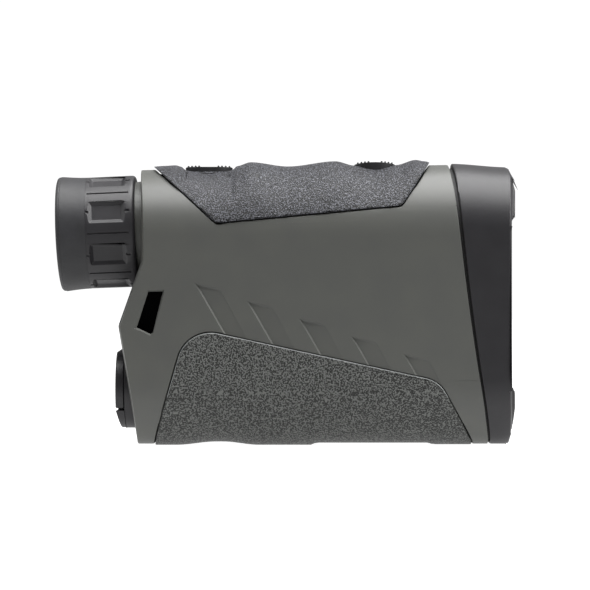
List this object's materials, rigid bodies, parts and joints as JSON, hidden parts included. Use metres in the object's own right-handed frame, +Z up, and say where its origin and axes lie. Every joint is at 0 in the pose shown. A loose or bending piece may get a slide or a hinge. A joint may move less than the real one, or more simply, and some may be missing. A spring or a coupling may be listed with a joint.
{
  "type": "handheld laser rangefinder",
  "caption": "Pocket laser rangefinder monocular: upright rounded housing, rubber armour and grip, tilted focusing eyepiece, front lenses, side battery cap.",
  "frame": {"origin": "centre of the bounding box's bottom face, in the middle of the base", "axes": "+X towards the target, +Y to the right-hand shell, +Z up"},
  "size_m": [0.1181, 0.0386, 0.0737],
  "materials": {
    "shell_polymer": "satin, fine moulded grain",
    "armour_rubber": "pebbled",
    "grip_rubber": "pebbled",
    "hood_polymer": "satin",
    "ring_polymer": "satin",
    "soft_rubber": "satin",
    "button_rubber": "satin",
    "seal_rubber": "satin",
    "anodised": "black anodised",
    "lens_glass": "coated",
    "screw_steel": "black oxide",
    "spring_steel": "satin",
    "black_polymer": "matt",
    "board": "solder mask",
    "chip_epoxy": "matt",
    "gilt": "plated",
    "brass": "turned",
    "cell_jacket": "shrink sleeve",
    "display_glass": "polished"
  },
  "bodies": {
    "housing": {"left_shell": "shell_polymer", "right_shell": "shell_polymer", "shell_screws": "screw_steel", "top_armour": "armour_rubber", "lower_grip": "grip_rubber", "front_hood": "hood_polymer", "hood_gasket": "seal_rubber", "hood_screws": "screw_steel", "objective_bezel": "anodised", "objective_lens": "lens_glass", "objective_retainer": "anodised", "objective_tube": "black_polymer", "receiver_bezel": "anodised", "receiver_lens": "lens_glass", "receiver_retainer": "anodised", "receiver_tube": "black_polymer", "receiver_sensor": "gilt", "receiver_board": "board", "emitter_bezel": "anodised", "emitter_lens": "lens_glass", "emitter_tube": "black_polymer", "laser_diode": "gilt", "roof_prism": "lens_glass", "half_prism": "lens_glass", "prism_holder": "black_polymer", "prism_clip": "spring_steel", "display_panel": "display_glass", "optical_chassis": "anodised", "eyepiece_housing": "shell_polymer", "barrel_circlip": "spring_steel", "diopter_seal": "seal_rubber", "main_board": "board", "board_chips": "chip_epoxy", "button_board": "board", "tact_switches": "spring_steel", "battery_tube": "black_polymer", "battery": "cell_jacket", "battery_contact": "gilt", "tripod_socket": "brass"},
    "focus_ring": {"diopter_ring": "ring_polymer", "eyecup": "soft_rubber"},
    "focus_cell": {"lens_cell": "anodised", "eye_lens": "lens_glass", "field_lens": "lens_glass", "cell_retainer": "anodised", "cam_pins": "spring_steel"},
    "range_key": {"range_button": "button_rubber"},
    "mode_key": {"mode_button": "button_rubber"},
    "seal_slide": {"cap_seal": "seal_rubber"},
    "screw_cap": {"battery_cap": "ring_polymer", "battery_spring": "spring_steel", "lever_pin": "spring_steel"},
    "lever": {"cap_lever": "ring_polymer"}
  },
  "joints": [
    {"name": "diopter_turn", "type": "hinge", "parent": "housing", "child": "focus_ring", "pos_m": [-0.0483, 0, 0.0548], "axis": [0.9991, 0, 0.0419], "range_deg": [-130, 130]},
    {"name": "lens_travel", "type": "slide", "parent": "housing", "child": "focus_cell", "axis": [0.9991, 0, 0.0419], "range_m": [-0.00118, 0.00118]},
    {"name": "range_press", "type": "slide", "parent": "housing", "child": "range_key", "axis": [0, 0, -1], "range_m": [0, 0.0006], "stiffness_N_per_m": 2000, "springref_m": -0.0003},
    {"name": "mode_press", "type": "slide", "parent": "housing", "child": "mode_key", "axis": [0, 0, -1], "range_m": [0, 0.0006], "stiffness_N_per_m": 2000, "springref_m": -0.0003},
    {"name": "cap_travel", "type": "slide", "parent": "housing", "child": "seal_slide", "axis": [-1, 0, 0], "range_m": [0, 0.0045]},
    {"name": "cap_turn", "type": "hinge", "parent": "seal_slide", "child": "screw_cap", "pos_m": [-0.0381, 0, 0.0145], "axis": [-1, 0, 0], "range_deg": [0, 1080]},
    {"name": "lever_fold", "type": "hinge", "parent": "screw_cap", "child": "lever", "pos_m": [-0.0421, 0, 0.0077], "axis": [0, -1, 0], "range_deg": [0, 90]}
  ],
  "couplings": [
    {"joint": "diopter_turn", "follows": "lens_travel", "rad_per_m": 1923.1},
    {"joint": "cap_turn", "follows": "cap_travel", "rad_per_m": 4188.8}
  ]
}
